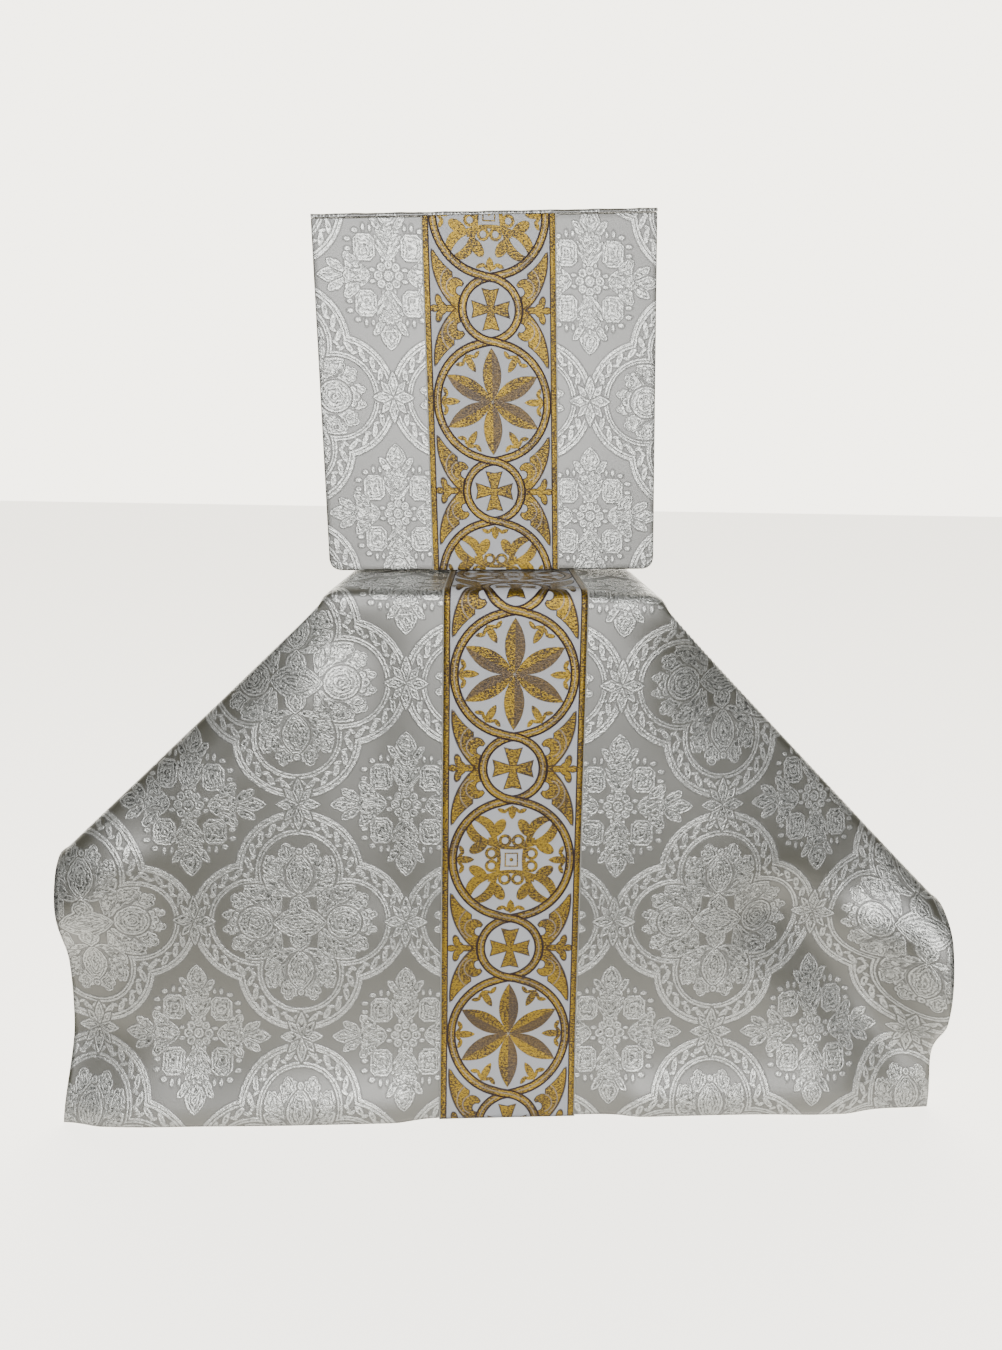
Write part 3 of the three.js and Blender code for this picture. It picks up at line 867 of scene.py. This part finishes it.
def beech_material():
    material, shader = new_material("beech", Coat_Weight=0.6, Coat_Roughness=0.18, Specular_IOR_Level=0.5)
    place = object_place()
    x, _, _ = split(place)
    bent = noise(stretched(place, 8, 8, 3), 1.0, 3.0, 0.5)
    rings = abs(sine(times_plus(bent, 7.0, x * 210)))
    grain = noise(stretched(place, 420, 420, 16), 1.0, 4.0, 0.65)
    flecks = inside(0.66 - noise(stretched(place, 900, 300, 90), 1.0, 1.0), 0.03)
    colour = blend_colour(times_plus(rings, 0.45, grain * 0.4), (0.30, 0.150, 0.060), (0.50, 0.29, 0.14))
    colour = blend_colour(flecks * 0.6, colour, (0.20, 0.09, 0.035))
    wire(colour, shader.inputs["Base Color"])
    wire(ranged(grain, 0.3, 0.7, 0.30, 0.42), shader.inputs["Roughness"])
    raise_surface(shader, grain, 0.2 * MM, 0.35)
    return material


damask = damask_material()
galloon = galloon_material()
lining = lining_material()
plywood = plywood_material()
beech = beech_material()


# The veil
def make_veil():
    shape = cloth_grid(
        196, 196, VEIL_SIDE, VEIL_SIDE,
        lambda u, v: veil_point(u + CENTRE_U, v + MIDDLE_V),
        lambda u, v: (u + CENTRE_U, v + MIDDLE_V, 0),
    )
    # Beside the band the folds are smoothed a little
    cut = shape.verts.layers.float_vector["cut"]
    inner = [v for v in shape.verts if not v.is_boundary and abs(v[cut].x) > SMOOTH_BEYOND * MM]
    for _ in range(SMOOTH_ROUNDS):
        bmesh.ops.smooth_vert(
            shape, verts=inner, factor=0.5, use_axis_x=True, use_axis_y=True, use_axis_z=True,
        )
    piece = finish_piece("veil", shape, damask, lining)
    give_thickness(piece, CLOTH_WALL, 0, True)
    return dress(piece, "veil_cloth")


def make_veil_band():
    depth = SOLID_WALL / 2 + SEAT_GAP + BAND_THICK / 2

    def place(u, v):
        return veil_point(u, v + MIDDLE_V) + veil_normal(u, v + MIDDLE_V) * depth

    shape = cloth_grid(30, 196, BAND_WIDTH, VEIL_SIDE, place, lambda u, v: (u, v + MIDDLE_V, 0))
    piece = finish_piece("veil_galloon", shape, galloon)
    give_thickness(piece, BAND_THICK, 0, False)
    return dress(piece, "veil_band")


# The burse: a place on a leaf is across from its middle and up from its foot line, along its slanting sides
BURSE_FOOT = TOP_HEIGHT + SOLID_WALL / 2 + SEAT_GAP + LEAF_THICK * math.sin(LEAN)
HALF_WIDTH = BURSE_WIDTH / 2
BACK_SCALE = (math.cos(LEAN) - LEAF_THICK * math.sin(BACK_LEAN) / BURSE_LEFT) / math.cos(BACK_LEAN)
INNER_TOP_Y = LEAF_THICK * math.cos(LEAN) + BURSE_RIGHT * math.sin(LEAN) + SEAT_GAP
BACK_FOOT_Y = INNER_TOP_Y + BURSE_RIGHT * BACK_SCALE * math.sin(BACK_LEAN)
TENT = Matrix.Translation((BURSE_FOOT_X, BURSE_FOOT_Y, BURSE_FOOT)) @ Matrix.Rotation(BURSE_YAW, 4, "Z")
FRONT_LEAF = TENT @ Matrix.Rotation(-LEAN, 4, "X")
BACK_FOOT = Matrix.Translation((0, BACK_FOOT_Y, -LEAF_THICK * math.sin(LEAN)))
BACK_LEAF = TENT @ BACK_FOOT @ Matrix.Rotation(BACK_LEAN, 4, "X")


def leaf_foot(across):
    return FOOT_RISE * (across + HALF_WIDTH) / BURSE_WIDTH


def leaf_top(across):
    return BURSE_LEFT + (BURSE_RIGHT - BURSE_LEFT) * (across + HALF_WIDTH) / BURSE_WIDTH


# A leaf's face swells a little towards its middle
def leaf_swell(across, share_up):
    return LEAF_SWELL * math.cos(math.pi * across / BURSE_WIDTH) * math.sin(math.pi * share_up)


# Rounds the two bottom corners of a place on a leaf
def round_corner(across, up):
    side = -1 if across < 0 else 1
    a = abs(across) - (HALF_WIDTH - LEAF_CORNER)
    b = LEAF_CORNER - (up - leaf_foot(across))
    if a <= 0 or b <= 0:
        return across, up
    shrink = max(a, b) / math.hypot(a, b)
    return side * (HALF_WIDTH - LEAF_CORNER + a * shrink), leaf_foot(across) + LEAF_CORNER - b * shrink


def make_leaf(name, node, frame_of_leaf, scale_up, outer_y, facing_back):
    def leaf_place(s, t):
        across = s
        up = leaf_foot(across) + (leaf_top(across) * scale_up - leaf_foot(across)) * (t + 0.5)
        across, up = round_corner(across, up)
        swell = leaf_swell(across, t + 0.5)
        y = outer_y + swell if facing_back else outer_y - swell
        return frame_of_leaf @ Vector((across - up * math.tan(SKEW), y, up))

    def leaf_pattern(s, t):
        up = leaf_foot(s) + (leaf_top(s) * scale_up - leaf_foot(s)) * (t + 0.5)
        return s - BAND_SHIFT, up - LEAF_DAMASK_ROW + DAMASK_ROW, 0

    shape = cloth_grid(60, 60, BURSE_WIDTH, 1, leaf_place, leaf_pattern)
    if facing_back:
        bmesh.ops.reverse_faces(shape, faces=shape.faces)
    piece = finish_piece(name, shape, damask, lining)
    give_thickness(piece, LEAF_THICK, -1, True)
    round_rim(piece, LEAF_RIM)
    return dress(piece, node)


def make_burse_band():
    def place(s, t):
        across = s + BAND_SHIFT
        foot = leaf_foot(across) + BAND_INSET
        up = foot + (leaf_top(across) - BAND_INSET - foot) * (t + 0.5)
        y = -SEAT_GAP - BAND_THICK / 2 - leaf_swell(across, t + 0.5)
        return FRONT_LEAF @ Vector((across - up * math.tan(SKEW), y, up))

    def pattern(s, t):
        foot = leaf_foot(s + BAND_SHIFT)
        up = foot + (leaf_top(s + BAND_SHIFT) - foot) * (t + 0.5)
        return s, up - LEAF_ROSETTE + GALLOON_ROSETTE, 0

    shape = cloth_grid(24, 60, BAND_WIDTH, 1, place, pattern)
    piece = finish_piece("burse_galloon", shape, galloon)
    give_thickness(piece, BAND_THICK, 0, False)
    round_rim(piece, 0.3, 2)
    return dress(piece, "burse_band")


# The spine: a roll of damask along the leaves' top edges, round above and nearly flat below
def make_spine():
    front = BURSE_RIGHT * math.sin(LEAN)
    back = INNER_TOP_Y + LEAF_THICK * math.cos(BACK_LEAN)
    middle_y, half_y = (front + back) / 2, (back - front) / 2
    slope = math.atan((BURSE_RIGHT - BURSE_LEFT) / BURSE_WIDTH)
    middle_up = (BURSE_LEFT + BURSE_RIGHT) / 2
    seat = TENT @ Matrix.Translation((-middle_up * math.tan(SKEW), 0, middle_up * math.cos(LEAN) + SEAT_GAP))
    seat = seat @ Matrix.Rotation(-slope, 4, "Y")
    shape = bmesh.new()
    rim = bmesh.ops.create_circle(shape, cap_ends=False, segments=28, radius=1)["verts"]
    for vert in rim:
        across, up = vert.co.x, vert.co.y
        height = SPINE_HEIGHT if up > 0 else SPINE_UNDERSIDE
        vert.co = Vector((-HALF_WIDTH, middle_y + half_y * across, height * up + SPINE_LIFT))
    edges = shape.edges[:]
    steps = 58
    for _ in range(steps):
        grown = bmesh.ops.extrude_edge_only(shape, edges=edges)["geom"]
        edges = [part for part in grown if isinstance(part, bmesh.types.BMEdge)]
        verts = [part for part in grown if isinstance(part, bmesh.types.BMVert)]
        bmesh.ops.translate(shape, verts=verts, vec=(BURSE_WIDTH / steps, 0, 0))
    bmesh.ops.holes_fill(shape, edges=shape.edges[:], sides=0)
    cut = shape.verts.layers.float_vector.new("cut")
    for vert in shape.verts:
        around = math.atan2(vert.co.z - SPINE_LIFT, vert.co.y - middle_y)
        along = LEAF_DAMASK_ROW - around * half_y * 0.8 + half_y * 2
        vert[cut] = Vector((vert.co.x - BAND_SHIFT, along + DAMASK_ROW, 0)) * MM
        ease = 0.12 * math.sin(vert.co.x * 0.19) + 0.08 * math.sin(vert.co.x * 0.43 + 1)
        if vert.co.z > 1:
            vert.co.z += ease
        vert.co = (seat @ vert.co) * MM
    bmesh.ops.recalc_face_normals(shape, faces=shape.faces)
    piece = finish_piece("burse_roll", shape, damask)
    round_rim(piece, 0.5, 2)
    return dress(piece, "burse_spine")


# The board and the turned stand that carry the cloth
BOARD_TOP = TOP_HEIGHT - SOLID_WALL / 2 - SEAT_GAP
STAND_TOP = BOARD_TOP - BOARD_THICK - SEAT_GAP
STAND_PROFILE = [
    (74, 0), (75, 1), (75, 4.5), (72, 7.5), (60, 10), (42, 15), (26, 24), (15, 40), (10.5, 62), (9, 96),
    (9.5, 130), (12.5, 134), (13, 138), (11, 142), (17, 150), (20, 160), (17, 170), (11, 178), (13, 182),
    (12.5, 186), (9.5, 190), (9, 230), (11, 280), (17, 308), (30, 323), (52, STAND_TOP - 7),
    (55, STAND_TOP - 4), (55, STAND_TOP - 1), (54, STAND_TOP),
]


def bevel_edges(shape, edges, width, segments):
    bmesh.ops.bevel(
        shape, geom=edges, offset=width * MM, offset_type="OFFSET", segments=segments, profile=0.5,
        affect="EDGES", material=-1,
    )


def make_board():
    shape = bmesh.new()
    bmesh.ops.create_cube(shape, size=1)
    bmesh.ops.scale(shape, vec=Vector((BOARD_SIDE, BOARD_SIDE, BOARD_THICK)) * MM, verts=shape.verts)
    bmesh.ops.translate(shape, vec=(0, 0, (BOARD_TOP - BOARD_THICK / 2) * MM), verts=shape.verts)
    upright = [e for e in shape.edges if abs(e.verts[0].co.z - e.verts[1].co.z) > 1 * MM]
    bevel_edges(shape, upright, BOARD_CORNER, 10)
    rims = [e for e in shape.edges if abs(e.verts[0].co.z - e.verts[1].co.z) < 0.1 * MM]
    bevel_edges(shape, rims, BOARD_EDGE, 4)
    piece = finish_piece("veil_board", shape, plywood)
    return dress(piece, "board")


def make_stand():
    points = [Vector((r, 0, z)) for r, z in STAND_PROFILE]
    shape = bmesh.new()
    rows = [shape.verts.new((0, 0, 0))]
    parts = 4
    for k in range(len(points) - 1):
        before = points[max(0, k - 1)]
        after = points[min(len(points) - 1, k + 2)]
        here, there = points[k], points[k + 1]
        out1 = (there - before) * 0.5
        out2 = (after - here) * 0.5
        limit = (there - here).length
        out1 = out1 * min(1, limit / max(out1.length, 1e-6))
        out2 = out2 * min(1, limit / max(out2.length, 1e-6))
        for j in range(parts):
            t = j / parts
            ease = 3 * t * t - 2 * t ** 3
            co = here.lerp(there, ease) + out1 * (t - 2 * t * t + t ** 3) + out2 * (t ** 3 - t * t)
            rows.append(shape.verts.new(co * MM))
    rows.append(shape.verts.new(points[-1] * MM))
    rows.append(shape.verts.new((0, 0, STAND_TOP * MM)))
    edges = [shape.edges.new((a, b)) for a, b in zip(rows, rows[1:])]
    bmesh.ops.spin(
        shape, geom=rows + edges, cent=(0, 0, 0), axis=(0, 0, 1), angle=2 * math.pi, steps=96, use_merge=True,
        use_duplicate=False,
    )
    bmesh.ops.remove_doubles(shape, verts=shape.verts, dist=1e-6)
    bmesh.ops.recalc_face_normals(shape, faces=shape.faces)
    piece = finish_piece("turned_stand", shape, beech)
    return dress(piece, "stand")


veil = make_veil()
veil_galloon = make_veil_band()
make_leaf("burse_front_leaf", "burse_front", FRONT_LEAF, 1, 0, False)
make_leaf("burse_back_leaf", "burse_back", BACK_LEAF, BACK_SCALE, LEAF_THICK, True)
burse_galloon = make_burse_band()
make_spine()
make_board()
make_stand()


# The floor in metres: it glows a little, and only its middle is mirrored in the cloth
FLOOR_HALF = 7
MIDDLE_HALF = 0.42
MIDDLE_FRONT = -0.34
MIDDLE_BACK = 0.6
FLOOR_PARTS = {
    "floor_middle": (-MIDDLE_HALF, MIDDLE_HALF, MIDDLE_FRONT, MIDDLE_BACK),
    "floor_front": (-FLOOR_HALF, FLOOR_HALF, -FLOOR_HALF, MIDDLE_FRONT),
    "floor_back": (-FLOOR_HALF, FLOOR_HALF, MIDDLE_BACK, FLOOR_HALF),
    "floor_left": (-FLOOR_HALF, -MIDDLE_HALF, MIDDLE_FRONT, MIDDLE_BACK),
    "floor_right": (MIDDLE_HALF, FLOOR_HALF, MIDDLE_FRONT, MIDDLE_BACK),
}


def make_floor(name, left, right, front, back, paper):
    shape = bmesh.new()
    bmesh.ops.create_grid(shape, x_segments=4, y_segments=4, size=0.5)
    bmesh.ops.scale(shape, vec=(right - left, back - front, 1), verts=shape.verts)
    bmesh.ops.translate(shape, vec=((left + right) / 2, (front + back) / 2, 0), verts=shape.verts)
    piece = finish_piece(name, shape, paper)
    piece.visible_diffuse = False
    piece.visible_glossy = name == "floor_middle"


def area_light(name, place, aim, size, power, colour=(1, 1, 1)):
    light = bpy.data.lights.new(name, "AREA")
    light.shape = "RECTANGLE"
    light.size, light.size_y = size
    light.energy = power
    light.color = colour
    holder = bpy.data.objects.new(name, light)
    holder.visible_camera = False
    holder.location = place
    direction = Vector(aim) - Vector(place)
    holder.rotation_euler = direction.to_track_quat("-Z", "Y").to_euler()
    bpy.context.scene.collection.objects.link(holder)


paper, paper_shader = new_material("paper", Roughness=0.9, Specular_IOR_Level=0.1)
paper_shader.inputs["Base Color"].default_value = (0.90, 0.88, 0.82, 1)
paper_shader.inputs["Emission Color"].default_value = (1.0, 0.955, 0.86, 1)
paper_shader.inputs["Emission Strength"].default_value = 2.3
for part, sides in FLOOR_PARTS.items():
    make_floor(part, *sides, paper)

# Lights in metres and watts: place, point aimed at, size and power
area_light("overhead", (-0.35, -2.0, 2.15), (0, 0, 0.25), (1.3, 0.8), 80)
area_light("left_strip", (-2.2, -1.7, 0.85), (0, 0, 0.3), (0.35, 1.0), 9)
area_light("right_strip", (2.3, -1.6, 0.85), (0, 0, 0.3), (0.35, 1.0), 10)
area_light("softbox", (0.25, -3.1, 1.02), (0, 0, 0.45), (1.9, 1.6), 195, (1, 0.992, 0.968))

# A pale backdrop all round to the eye, which lights the object from behind alone
world = bpy.data.worlds.new("studio")
world.use_nodes = True
Number.tree = world.node_tree
background = world.node_tree.nodes["Background"]
background.inputs["Color"].default_value = (1.0, 0.955, 0.84, 1)
_, behind, _ = split(Number(world.node_tree.nodes.new("ShaderNodeTexCoord").outputs["Generated"]))
seen = Number(world.node_tree.nodes.new("ShaderNodeLightPath").outputs["Is Camera Ray"])
wire(most(ranged(behind, 0.35, 0.7, 0.15, 4.9), seen * 4.4), background.inputs["Strength"])
bpy.context.scene.world = world

# The camera as fitted to the photograph
CAMERA_PLACE = Vector((-0.12, -647.53, 428.03))
camera_data = bpy.data.cameras.new("photo_view")
camera_data.sensor_width = 36
camera_data.lens = 23.94
camera_data.clip_start = 0.01
camera_data.clip_end = 50
camera = bpy.data.objects.new("photo_view", camera_data)
right = Vector((0.9998526, -0.00545826, 0.01627839))
up = Vector((-0.01452343, 0.23678275, 0.97145406))
forward = Vector((0.00915689, 0.97154729, -0.23666858))
turned = Matrix((right, up, -forward)).transposed().to_4x4()
camera.matrix_world = Matrix.Translation(CAMERA_PLACE * MM) @ turned
bpy.context.scene.collection.objects.link(camera)
bpy.context.scene.camera = camera
